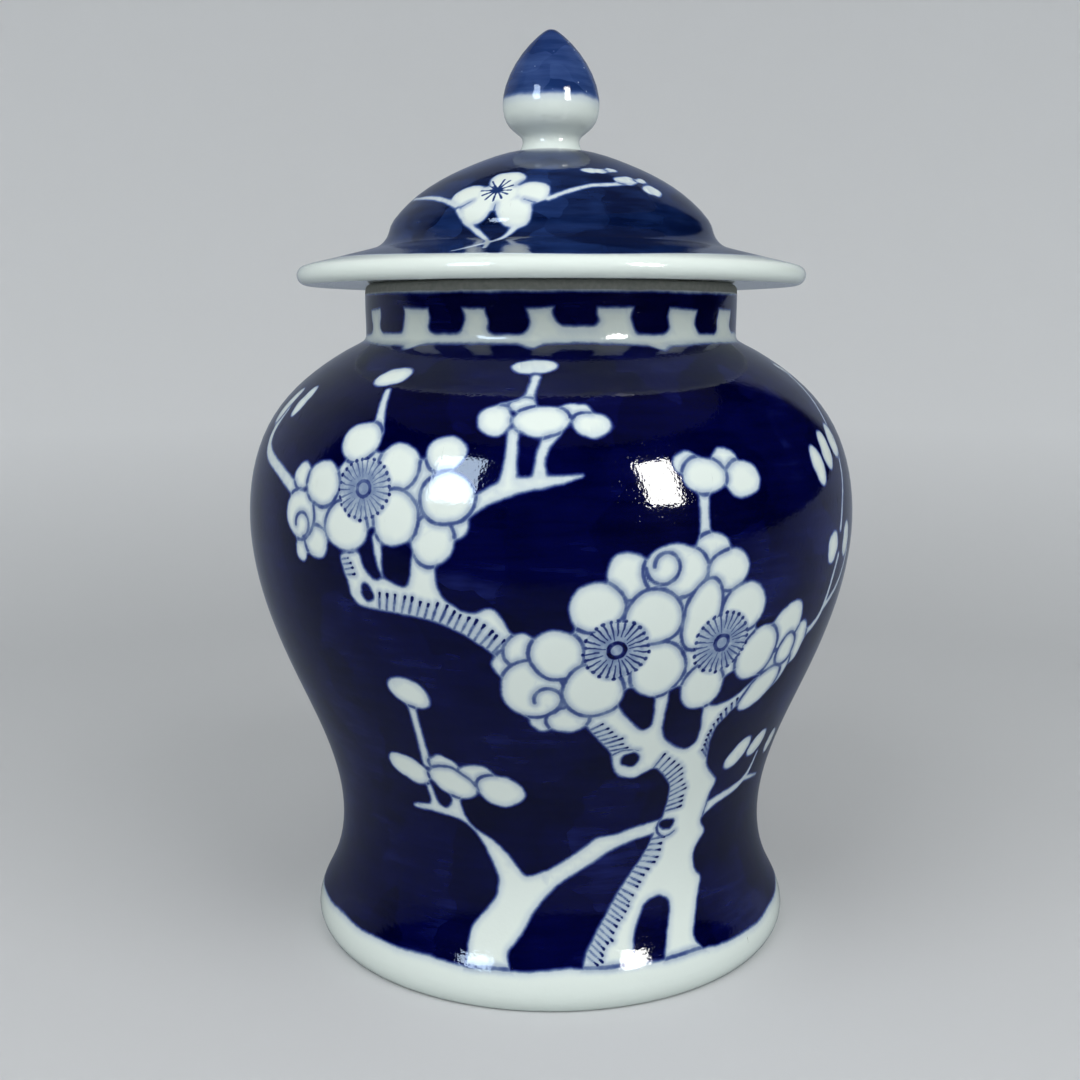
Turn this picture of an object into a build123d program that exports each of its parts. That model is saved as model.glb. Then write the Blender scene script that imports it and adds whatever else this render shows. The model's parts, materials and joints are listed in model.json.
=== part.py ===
"""Lidded baluster jar (ginger jar) in glazed porcelain.

Frame: origin at the centre of the foot ring on the resting plane, +Z up the turning axis,
the painted front of the jar facing -Y. Every piece is turned, so each one is an outline in
the XZ plane (X is the radius, Z the height) revolved about Z. Millimetres.
"""

import os
from math import cos, radians, sin, tan

from build123d import *

# Driving dimensions ---------------------------------------------------------------------

TOTAL_HEIGHT = 260.0  # foot ring to the tip of the knob
RIM_HEIGHT = 189.2  # foot ring to the lip of the neck, where the lid rests
BELLY_RADIUS = 87.8
BELLY_HEIGHT = 122.5
WAIST_RADIUS = 63.3
WAIST_HEIGHT = 33.0
FOOT_RADIUS = 71.1  # widest line of the spreading foot
FOOT_HEIGHT = 4.8
NECK_RADIUS = 53.6
NECK_WALL = 4.8
FLANGE_RADIUS = 72.7  # lid, over its rolled edge
KNOB_RADIUS = 13.75
PORCELAIN_WALL = 5.0  # thrown wall of the belly and of the dome

# Jar body -------------------------------------------------------------------------------

NECK_FOOT_HEIGHT = 173.6  # where the upright neck meets the shoulder
NECK_FOOT_SLOPE = 26.0  # degrees that the shoulder falls away from the neck
LIP_ROUND = 1.7
NECK_FOOT_ROUND = 2.0
FOOT_CONTACT_OUTER = 69.0  # unglazed ring that touches the table
FOOT_CONTACT_INNER = 64.4
FOOT_EDGE_ROUND = 0.6
BASE_RECESS = 7.0  # glazed base above the table, inside the foot ring
BASE_CORNER_RADIUS = 61.5
BASE_CORNER_ROUND = 2.5
FLOOR_HEIGHT = 15.0
FLOOR_RADIUS = 40.0
SAME_HEIGHT = 0.1  # edges this close to a height count as lying at it

# Stations of the outer wall, (radius, height), from the neck down to the foot.
SHOULDER = (80.4, 152.0)
BELLY = (BELLY_RADIUS, BELLY_HEIGHT)
FLANK = (77.1, 80.0)
LOWER_FLANK = (67.0, 55.0)
WAIST = (WAIST_RADIUS, WAIST_HEIGHT)
FOOT_SPREAD = (67.5, 14.5)
FOOT_EDGE = (FOOT_RADIUS, FOOT_HEIGHT)

# Stations of the inner wall, from the floor up to the neck. The wall thickens downwards.
INNER_NECK_RADIUS = NECK_RADIUS - NECK_WALL
INNER_WAIST = (56.6, 33.0)
INNER_LOWER_FLANK = (60.9, 56.0)
INNER_FLANK = (71.4, 81.0)
INNER_BELLY = (BELLY_RADIUS - PORCELAIN_WALL, BELLY_HEIGHT)
INNER_SHOULDER = (75.9, 149.6)
INNER_NECK_FOOT = (INNER_NECK_RADIUS, 170.8)

SHOULDER_FALL = (cos(radians(NECK_FOOT_SLOPE)), -sin(radians(NECK_FOOT_SLOPE)))
INNER_SHOULDER_RISE = (-cos(radians(NECK_FOOT_SLOPE)), sin(radians(NECK_FOOT_SLOPE)))



def circles_at(piece, height):
    """The circular edges of a piece that lie at one height."""
    circles = piece.edges().filter_by(GeomType.CIRCLE)
    return circles.filter_by_position(Axis.Z, height - SAME_HEIGHT, height + SAME_HEIGHT)


with BuildPart() as jar_body:
    with BuildSketch(Plane.XZ):
        with BuildLine():
            Line((NECK_RADIUS, RIM_HEIGHT), (NECK_RADIUS, NECK_FOOT_HEIGHT))
            Spline(
                (NECK_RADIUS, NECK_FOOT_HEIGHT),
                SHOULDER,
                BELLY,
                FLANK,
                LOWER_FLANK,
                WAIST,
                FOOT_SPREAD,
                FOOT_EDGE,
                tangents=[SHOULDER_FALL, (0, -1)],
                tangent_scalars=[1, 1],
            )
            TangentArc(FOOT_EDGE, (FOOT_CONTACT_OUTER, 0), tangent=(0, -1))
            Polyline(
                (FOOT_CONTACT_OUTER, 0),
                (FOOT_CONTACT_INNER, 0),
                (BASE_CORNER_RADIUS, BASE_RECESS),
                (0, BASE_RECESS),
                (0, FLOOR_HEIGHT),
                (FLOOR_RADIUS, FLOOR_HEIGHT),
            )
            Spline(
                (FLOOR_RADIUS, FLOOR_HEIGHT),
                INNER_WAIST,
                INNER_LOWER_FLANK,
                INNER_FLANK,
                INNER_BELLY,
                INNER_SHOULDER,
                INNER_NECK_FOOT,
                tangents=[(1, 0), INNER_SHOULDER_RISE],
                tangent_scalars=[1, 1],
            )
            Polyline(
                INNER_NECK_FOOT,
                (INNER_NECK_RADIUS, RIM_HEIGHT),
                (NECK_RADIUS, RIM_HEIGHT),
            )
        make_face()
    revolve(axis=Axis.Z)
    fillet(circles_at(jar_body, RIM_HEIGHT), LIP_ROUND)
    fillet(circles_at(jar_body, NECK_FOOT_HEIGHT), NECK_FOOT_ROUND)
    fillet(circles_at(jar_body, INNER_NECK_FOOT[1]), NECK_FOOT_ROUND)
    fillet(circles_at(jar_body, 0), FOOT_EDGE_ROUND)
    fillet(circles_at(jar_body, BASE_RECESS), BASE_CORNER_ROUND)

# Lid: a hollow dome with a wide, sloping flange that ends in a thick rolled edge ----------

DOME_TOP_HEIGHT = 226.4
KNOB_SEAT_RADIUS = 10.0
DOME_TOP_SLOPE = 9.0  # degrees below level, just outside the knob seat
DOME_CROWN = (22.0, 222.7)  # stations of the dome's outer wall, (radius, height)
DOME_SIDE = (35.0, 216.2)
DOME_HAUNCH = (43.2, 209.4)
DOME_FOOT = (46.4, 204.4)  # where the dome wall turns steep above the flange
DOME_FOOT_SLOPE = 76.0  # degrees below level
FLANGE_SLOPE = 14.3  # degrees that the flange falls outwards
FLANGE_EDGE_ROUND = 2.7
FLANGE_SEAT_RADIUS = 57.0  # the flat part of the underside, which rests on the lip
DOME_FOOT_ROUND = 7.0
RING_OUTER_RADIUS = 46.8  # 2 mm clear of the neck all round
RING_INNER_RADIUS = 42.6
INNER_DOME_FOOT = (RING_INNER_RADIUS, 198.0)  # stations of the dome's inner wall
INNER_DOME_SIDE = (38.6, 206.4)
INNER_DOME_CROWN = (24.0, 216.8)
INNER_DOME_TOP = (0, DOME_TOP_HEIGHT - PORCELAIN_WALL)

EDGE_CENTRE_RADIUS = FLANGE_RADIUS - FLANGE_EDGE_ROUND
EDGE_CENTRE_HEIGHT = 191.4
EDGE_UNDERSIDE = (EDGE_CENTRE_RADIUS, EDGE_CENTRE_HEIGHT - FLANGE_EDGE_ROUND)
EDGE_TOP = (
    EDGE_CENTRE_RADIUS + FLANGE_EDGE_ROUND * sin(radians(FLANGE_SLOPE)),
    EDGE_CENTRE_HEIGHT + FLANGE_EDGE_ROUND * cos(radians(FLANGE_SLOPE)),
)
# The steep foot of the dome and the slope of the flange meet here, before rounding.
RISE = tan(radians(DOME_FOOT_SLOPE))
FALL = tan(radians(FLANGE_SLOPE))
CORNER_RADIUS = (DOME_FOOT[1] + RISE * DOME_FOOT[0] - EDGE_TOP[1] - FALL * EDGE_TOP[0]) / (
    RISE - FALL
)
CORNER_HEIGHT = EDGE_TOP[1] + FALL * (EDGE_TOP[0] - CORNER_RADIUS)
DOME_TOP_FALL = (cos(radians(DOME_TOP_SLOPE)), -sin(radians(DOME_TOP_SLOPE)))
DOME_FOOT_FALL = (cos(radians(DOME_FOOT_SLOPE)), -sin(radians(DOME_FOOT_SLOPE)))

with BuildPart() as lid:
    with BuildSketch(Plane.XZ):
        with BuildLine():
            Line((0, DOME_TOP_HEIGHT), (KNOB_SEAT_RADIUS, DOME_TOP_HEIGHT))
            Spline(
                (KNOB_SEAT_RADIUS, DOME_TOP_HEIGHT),
                DOME_CROWN,
                DOME_SIDE,
                DOME_HAUNCH,
                DOME_FOOT,
                tangents=[DOME_TOP_FALL, DOME_FOOT_FALL],
                tangent_scalars=[1, 1],
            )
            Polyline(DOME_FOOT, (CORNER_RADIUS, CORNER_HEIGHT), EDGE_TOP)
            ThreePointArc(
                EDGE_TOP,
                (FLANGE_RADIUS, EDGE_CENTRE_HEIGHT),
                EDGE_UNDERSIDE,
            )
            Polyline(
                EDGE_UNDERSIDE,
                (FLANGE_SEAT_RADIUS, RIM_HEIGHT),
                (RING_INNER_RADIUS, RIM_HEIGHT),
                INNER_DOME_FOOT,
            )
            Spline(
                INNER_DOME_FOOT,
                INNER_DOME_SIDE,
                INNER_DOME_CROWN,
                INNER_DOME_TOP,
                tangents=[(0, 1), (-1, 0)],
                tangent_scalars=[1, 1],
            )
            Line(INNER_DOME_TOP, (0, DOME_TOP_HEIGHT))
        make_face()
    revolve(axis=Axis.Z)
    fillet(circles_at(lid, CORNER_HEIGHT), DOME_FOOT_ROUND)

# Locating ring: a plain thrown ring luted under the lid, which drops inside the neck -------

RING_FOOT_HEIGHT = 176.4
RING_FOOT_ROUND = 1.6

with BuildPart() as lid_locating_ring:
    with BuildSketch(Plane.XY.offset(RING_FOOT_HEIGHT)):
        Circle(RING_OUTER_RADIUS)
        Circle(RING_INNER_RADIUS, mode=Mode.SUBTRACT)
    extrude(amount=RIM_HEIGHT - RING_FOOT_HEIGHT)
    fillet(lid_locating_ring.edges().group_by(Axis.Z)[0], RING_FOOT_ROUND)

# Knob: a bud on a short waisted stem, thrown on its own and luted to the top of the dome ---

KNOB_WIDEST_HEIGHT = 239.6
STEM_RADIUS = 8.1
STEM_HEIGHT = 229.6
STEM_FOOT_RADIUS = 9.2
STEM_FOOT_SLOPE = 55.0  # degrees below level, where the stem flares onto the dome
KNOB_CHEEK = (12.5, 245.8)  # stations of the knob's outline, (radius, height)
KNOB_TAPER = (8.6, 252.8)
KNOB_POINT = (3.5, 258.2)
KNOB_UNDERSIDE = (11.3, 232.8)
STEM_FLARE = (cos(radians(STEM_FOOT_SLOPE)), -sin(radians(STEM_FOOT_SLOPE)))

with BuildPart() as lid_knob:
    with BuildSketch(Plane.XZ):
        with BuildLine():
            Spline(
                (0, TOTAL_HEIGHT),
                KNOB_POINT,
                KNOB_TAPER,
                KNOB_CHEEK,
                (KNOB_RADIUS, KNOB_WIDEST_HEIGHT),
                KNOB_UNDERSIDE,
                (STEM_RADIUS, STEM_HEIGHT),
                (STEM_FOOT_RADIUS, DOME_TOP_HEIGHT),
                tangents=[(1, 0), STEM_FLARE],
                tangent_scalars=[1, 1],
            )
            Polyline(
                (STEM_FOOT_RADIUS, DOME_TOP_HEIGHT),
                (0, DOME_TOP_HEIGHT),
                (0, TOTAL_HEIGHT),
            )
        make_face()
    revolve(axis=Axis.Z)

# Labels and files -----------------------------------------------------------------------

jar_body.part.label = "jar_body"
lid.part.label = "lid"
lid_locating_ring.part.label = "lid_locating_ring"
lid_knob.part.label = "lid_knob"

os.makedirs("parts", exist_ok=True)
export_step(jar_body.part, "parts/jar_body.step")
export_step(lid.part, "parts/lid.step")
export_step(lid_locating_ring.part, "parts/lid_locating_ring.step")
export_step(lid_knob.part, "parts/lid_knob.step")
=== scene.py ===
"""Looks of the lidded baluster jar: glazed porcelain, plum blossom in white on a cobalt ground.

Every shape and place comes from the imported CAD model. Each turned piece is meshed afresh around
its own CAD outline, finer wherever the painting has an edge. The painting itself is a set of
distances in millimetres kept at the mesh's points, which the glaze material turns into brushwork.

Places on a piece are (azimuth, height): degrees from the front (-Y), positive towards +X, and
millimetres above the foot. Heights are measured along the outside of the piece.
"""

import json
import math

import bpy
import numpy as np
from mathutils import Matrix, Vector


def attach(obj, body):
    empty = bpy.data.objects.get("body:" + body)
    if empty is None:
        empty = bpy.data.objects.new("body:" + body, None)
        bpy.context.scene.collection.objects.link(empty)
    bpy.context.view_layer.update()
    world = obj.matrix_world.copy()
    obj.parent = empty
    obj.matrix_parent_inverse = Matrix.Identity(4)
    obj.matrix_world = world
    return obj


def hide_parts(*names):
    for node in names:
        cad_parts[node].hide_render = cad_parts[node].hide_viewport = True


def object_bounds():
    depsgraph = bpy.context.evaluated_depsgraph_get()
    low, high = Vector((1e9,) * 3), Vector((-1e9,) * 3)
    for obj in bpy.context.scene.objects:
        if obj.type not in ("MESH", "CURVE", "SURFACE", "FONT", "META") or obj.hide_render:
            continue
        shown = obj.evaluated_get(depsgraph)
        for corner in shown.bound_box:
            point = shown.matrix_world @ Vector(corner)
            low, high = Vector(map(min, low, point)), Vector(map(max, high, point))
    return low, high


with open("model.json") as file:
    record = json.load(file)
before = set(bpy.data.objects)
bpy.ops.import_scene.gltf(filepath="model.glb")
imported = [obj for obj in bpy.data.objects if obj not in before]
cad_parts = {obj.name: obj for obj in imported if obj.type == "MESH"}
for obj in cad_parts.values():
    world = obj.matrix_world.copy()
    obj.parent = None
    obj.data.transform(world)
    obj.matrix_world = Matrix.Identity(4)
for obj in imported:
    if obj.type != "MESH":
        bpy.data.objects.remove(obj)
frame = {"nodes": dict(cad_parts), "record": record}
cad_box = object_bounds()

MM = 0.001
TOTAL_HEIGHT = cad_box[1].z / MM


def add_object(name, data):
    """A new object in the scene."""
    thing = bpy.data.objects.new(name, data)
    bpy.context.scene.collection.objects.link(thing)
    return thing


# The turned pieces ----------------------------------------------------------------------

SAMPLE = 0.1  # mm between the points of a smoothed outline
GLAZE_ROUND = 0.25  # mm by which the glaze softens every corner
CORNER_COSINE = 0.94  # an outline turns by more than 20 degrees at a corner
COLUMNS = 160  # cells round a piece before the painting splits them
ROW = 3.4  # mm, tallest cell
ROW_TURN = math.radians(12)  # most that the outline turns within one cell
SPLITS = 3  # times a cell is halved at a painted edge
FAR = 4.0  # mm, distances to painted edges are only kept this close
AXIS_GAP = 0.3  # mm from the axis where a flat cap closes the mesh


def seam_links(mesh):
    """The distinct (radius, height) points on a turned mesh's seam, and which are joined."""
    places = np.empty(len(mesh.vertices) * 3)
    mesh.vertices.foreach_get("co", places)
    places = places.reshape(-1, 3) / MM
    seam = np.flatnonzero((np.abs(places[:, 1]) < 0.001) & (places[:, 0] > -0.001))
    points, labels = np.unique(np.round(places[seam][:, [0, 2]], 2), axis=0, return_inverse=True)
    label_of = dict(zip(seam.tolist(), labels.tolist()))
    edges = np.empty(len(mesh.edges) * 2, np.int32)
    mesh.edges.foreach_get("vertices", edges)
    links = {i: set() for i in range(len(points))}
    for a, b in edges.reshape(-1, 2).tolist():
        a, b = label_of.get(a), label_of.get(b)
        if a is not None and b is not None and a != b:
            links[a].add(b)
            links[b].add(a)
    return [tuple(p) for p in points.tolist()], links


def cad_outline(node):
    """The outline of a turned CAD node as ordered (radius, height) points, and if it is a loop."""
    points, links = seam_links(frame["nodes"][node].data)
    # Flat faces have no seam: their two rims lie at one height, or one rim faces the axis.
    loose = [i for i in links if len(links[i]) == 1 and points[i][0] > 0.01]
    while loose:
        end = loose.pop()
        level = [i for i in loose if abs(points[i][1] - points[end][1]) < 0.02]
        if level:
            other = level[0]
            loose.remove(other)
        else:
            other = len(points)
            points.append((0.0, points[end][1]))
            links[other] = set()
        links[end].add(other)
        links[other].add(end)
    ends = [i for i in links if len(links[i]) == 1]
    here = max(ends or links, key=lambda i: points[i][1])
    order = [here]
    while True:
        onward = [i for i in links[order[-1]] if i not in order]
        if not onward:
            break
        order.append(onward[0])
    outline = np.array([points[i] for i in order])
    looped = not ends
    if looped:
        outline = np.vstack([outline, outline[:1]])
    around = outline if looped else np.vstack([outline, outline[:1]])
    area = np.sum(around[:-1, 0] * around[1:, 1] - around[1:, 0] * around[:-1, 1])
    return (outline if area < 0 else outline[::-1]), looped


def natural_spline(x, y, at):
    """The natural cubic spline through the points (x, y), read at the places in at."""
    gap = np.diff(x)
    slope = np.diff(y) / gap
    count = len(x)
    system = np.eye(count)
    rise = np.zeros(count)
    for i in range(1, count - 1):
        system[i, i - 1 : i + 2] = gap[i - 1], 2 * (gap[i - 1] + gap[i]), gap[i]
        rise[i] = 3 * (slope[i] - slope[i - 1])
    bend = np.linalg.solve(system, rise)
    i = np.clip(np.searchsorted(x, at) - 1, 0, count - 2)
    w = at - x[i]
    first = slope[i] - gap[i] * (2 * bend[i] + bend[i + 1]) / 3
    return y[i] + w * (first + w * (bend[i] + w * (bend[i + 1] - bend[i]) / (3 * gap[i])))


def smoothed(outline, looped):
    """The outline as closely spaced points: splines between corners, and softened corners."""
    step = np.diff(outline, axis=0)
    length = np.hypot(*step.T)
    heading = step / length[:, None]
    along = np.concatenate([[0], np.cumsum(length)])
    turns = np.sum(heading[1:] * heading[:-1], axis=1)
    corners = [0, *(np.flatnonzero(turns < CORNER_COSINE) + 1), len(outline) - 1]
    parts = []
    for a, b in zip(corners[:-1], corners[1:]):
        x = along[a : b + 1]
        at = np.linspace(x[0], x[-1], max(2, int((x[-1] - x[0]) / SAMPLE)), endpoint=False)
        parts.append(np.stack([natural_spline(x, y, at) for y in outline[a : b + 1].T], 1))
    dense = np.vstack(parts + [outline[-1:]])
    reach = int(4 * GLAZE_ROUND / SAMPLE)
    kernel = np.exp(-0.5 * (np.arange(-reach, reach + 1) * SAMPLE / GLAZE_ROUND) ** 2)
    kernel /= kernel.sum()
    mode = "wrap" if looped else "edge"
    body = dense[:-1] if looped else dense
    soft = [np.convolve(np.pad(c, reach, mode=mode), kernel, "valid") for c in body.T]
    soft = np.stack(soft, 1)
    return np.vstack([soft, soft[:1]]) if looped else soft


class Turned:
    """The smooth outline of one turned piece, read by the distance along it in millimetres."""

    def __init__(self, node):
        outline, self.looped = cad_outline(node)
        curve = smoothed(outline, self.looped)
        curve = curve[curve[:, 0] > AXIS_GAP]
        self.radii, self.heights = curve.T
        steps = np.hypot(np.diff(self.radii), np.diff(self.heights))
        self.places = np.concatenate([[0], np.cumsum(steps)])
        heading = np.stack([np.gradient(self.radii), np.gradient(self.heights)], 1)
        if self.looped:
            heading[0] = heading[-1] = heading[0] + heading[-1]
        heading /= np.linalg.norm(heading, axis=1)[:, None]
        self.normals = np.stack([-heading[:, 1], heading[:, 0]], 1)
        self.length = self.places[-1]
        self.outside = (0.0, self.length)

    def face(self, top, bottom):
        """Sets which stretch of the outline is the outside face, as indexes into its points."""
        self.outside = (self.places[top], self.places[bottom])
        self.face_places = self.places[top : bottom + 1]
        self.face_heights = self.heights[top : bottom + 1]

    def radius(self, along):
        return np.interp(along, self.places, self.radii)

    def height(self, along):
        return np.interp(along, self.places, self.heights)

    def normal(self, along):
        return np.stack([np.interp(along, self.places, n) for n in self.normals.T], 1)

    def along(self, height):
        """Distance along the outline of a height on the outside face."""
        return np.interp(-height, -self.face_heights, self.face_places)

    def rows(self):
        """Distances along the outline of the rows of cells, closer where it bends sharply."""
        heading = np.unwrap(np.arctan2(self.normals[:, 1], self.normals[:, 0]))
        bend = np.abs(np.gradient(heading, self.places))
        crowd = np.maximum(1 / ROW, bend / ROW_TURN)
        gained = (crowd[1:] + crowd[:-1]) / 2 * np.diff(self.places)
        total = np.concatenate([[0], np.cumsum(gained)])
        count = int(math.ceil(total[-1]))
        return np.interp(np.linspace(0, total[-1], count + 1), total, self.places)


def split_cells(turned, rows, paint):
    """Cells of the piece's grid as (column, row, size) in finest steps, small at painted edges."""
    unit = 2**SPLITS
    column, row = np.meshgrid(np.arange(COLUMNS) * unit, np.arange(len(rows) - 1) * unit)
    cells = np.stack([column.ravel(), row.ravel()], 1)
    kept = []
    for level in range(SPLITS + 1):
        size = unit >> level
        if level == SPLITS:
            kept.append(np.column_stack([cells, np.full(len(cells), size)]))
            break
        azimuth = (cells[:, 0] + size / 2) * 360 / (COLUMNS * unit) - 180
        top = np.interp(cells[:, 1] / unit, np.arange(len(rows)), rows)
        bottom = np.interp((cells[:, 1] + size) / unit, np.arange(len(rows)), rows)
        middle = (top + bottom) / 2
        across = np.radians(360 * size / (COLUMNS * unit)) * turned.radius(middle)
        half = np.hypot(bottom - top, across) / 2
        near = paint(azimuth, middle).nearest_edge() < half + EDGE_MARGIN
        kept.append(np.column_stack([cells[~near], np.full((~near).sum(), size)]))
        step = size // 2
        corners = [(0, 0), (step, 0), (0, step), (step, step)]
        cells = np.vstack([cells[near] + corner for corner in corners])
    return np.vstack(kept)


def cell_borders(cells, across, down, wraps):
    """For each cell, the numbers of the mesh points all round it, and the points themselves."""
    used = np.zeros((across, down + 1), bool)
    for c in ((0, 0), (1, 0), (0, 1), (1, 1)):
        row = cells[:, 1] + c[1] * cells[:, 2]
        used[(cells[:, 0] + c[0] * cells[:, 2]) % across, row % down if wraps else row] = True
    number = np.full(used.shape, -1)
    number[used] = np.arange(used.sum())
    borders = []
    for size in np.unique(cells[:, 2]):
        group = cells[cells[:, 2] == size]
        run = np.arange(size)
        ring_x = np.concatenate([run, np.full(size, size), size - run, np.zeros(size, int)])
        ring_y = np.concatenate([np.zeros(size, int), run, np.full(size, size), size - run])
        x = group[:, :1] + ring_x[::-1]
        y = group[:, 1:2] + ring_y[::-1]
        found = number[x % across, y % down if wraps else y]
        real = found >= 0
        borders.append((real.sum(1), found[real], x[real], y[real]))
    return np.argwhere(used), [np.concatenate(b) for b in zip(*borders)]


def polygon_mesh(name, places, counts, corners):
    """A mesh of points in mm. Counts are the polygons' sizes, corners their points in turn."""
    mesh = bpy.data.meshes.new(name)
    mesh.vertices.add(len(places))
    mesh.vertices.foreach_set("co", (places * MM).astype(np.float32).ravel())
    mesh.loops.add(len(corners))
    mesh.loops.foreach_set("vertex_index", corners.astype(np.int32))
    mesh.polygons.add(len(counts))
    starts = np.concatenate([[0], np.cumsum(counts)[:-1]])
    mesh.polygons.foreach_set("loop_start", starts.astype(np.int32))
    mesh.update(calc_edges=True)
    mesh.validate()
    return mesh


def turned_mesh(name, turned, paint):
    """A mesh of the whole turned piece with its painting, true normals and a bake layout."""
    rows = turned.rows()
    unit = 2**SPLITS
    across, down = COLUMNS * unit, (len(rows) - 1) * unit
    cells = split_cells(turned, rows, paint)
    lattice, (counts, corners, x, y) = cell_borders(cells, across, down, turned.looped)
    azimuth = lattice[:, 0] * 360 / across - 180
    along = np.interp(lattice[:, 1] / unit, np.arange(len(rows)), rows)
    angle = np.radians(azimuth)
    round_axis = np.stack([np.sin(angle), -np.cos(angle)], 1)
    places = np.column_stack([round_axis * turned.radius(along)[:, None], turned.height(along)])
    normal = turned.normal(along)
    normals = np.column_stack([round_axis * normal[:, :1], normal[:, 1]])
    normals /= np.linalg.norm(normals, axis=1)[:, None]

    share = bake_share(turned, rows)
    spread = np.column_stack([x / across, np.interp(y / unit, np.arange(len(rows)), share)])
    if not turned.looped:
        for edge in (0, down):
            rim = np.flatnonzero(lattice[:, 1] == edge)
            rim = rim if edge == 0 else rim[::-1]
            counts = np.append(counts, len(rim))
            corners = np.append(corners, rim)
            flat = np.column_stack([lattice[rim, 0] / across, np.full(len(rim), edge / down)])
            spread = np.vstack([spread, flat])

    mesh = polygon_mesh(name, places, counts, corners)
    layout = mesh.uv_layers.new(name="OFBake")
    layout.uv.foreach_set("vector", (0.01 + 0.98 * spread).astype(np.float32).ravel())
    paint(azimuth, along).store(mesh)
    mesh.shade_smooth()
    mesh.normals_split_custom_set_from_vertices(normals.tolist())
    return mesh


def bake_share(turned, rows):
    """How far up the bake layout each row lies: the outside face takes most of it."""
    middle = (rows[1:] + rows[:-1]) / 2
    painted = (middle > turned.outside[0]) & (middle < turned.outside[1])
    weight = np.diff(rows) * np.where(painted, 1.0, 0.15)
    return np.concatenate([[0], np.cumsum(weight)]) / weight.sum()


def turned_piece(name, node, turned, paint, material):
    """A finished turned piece that stands for its CAD node and rides on the node's body."""
    piece = add_object(name, turned_mesh(name, turned, paint))
    piece.data.materials.append(material)
    body = next(b for b, nodes in frame["record"]["behaviour"]["bodies"].items() if node in nodes)
    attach(piece, body)
    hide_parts(node)
    return piece


# Brushwork -------------------------------------------------------------------------------

EDGE_MARGIN = 0.35  # mm round a painted edge that gets the finest cells
OUTLINE = 1.05  # mm, width of the blue line between petals
WOBBLE = 0.24  # mm, how far a hand-drawn round strays from true
BRANCH_SPREAD = 0.3  # mm, how far white runs past the edge of a branch's stroke
DISC_OVERLAP = 0.9  # mm, how far petal outlines run in under the rim of a disc of stamens
STROKE_STEP = 1.5  # mm, about how far apart a stroke's points are
CURL_POINTS = 28
POOLING = 1.0  # mm, how softly white shapes run together where they meet


def run_together(a, b):
    """The union of two distances, with the crease between the shapes filled a little."""
    share = np.clip(0.5 + 0.5 * (b - a) / POOLING, 0, 1)
    return b + (a - b) * share - POOLING * share * (1 - share)


def from_segment(right, up, start, end):
    """Distance from points to a straight segment, and how far along it the nearest place is."""
    step = end - start
    reached = (right - start[0]) * step[0] + (up - start[1]) * step[1]
    share = np.clip(reached / max(step @ step, 1e-9), 0, 1)
    away = np.hypot(right - start[0] - share * step[0], up - start[1] - share * step[1])
    return away, share


def softened(points):
    """A closed outline with its corners cut twice, so that it reads as drawn with a brush."""
    for _ in range(2):
        onward = np.roll(points, -1, axis=0)
        points = np.stack([0.8 * points + 0.2 * onward, 0.2 * points + 0.8 * onward], 1)
        points = points.reshape(-1, 2)
    return points


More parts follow.
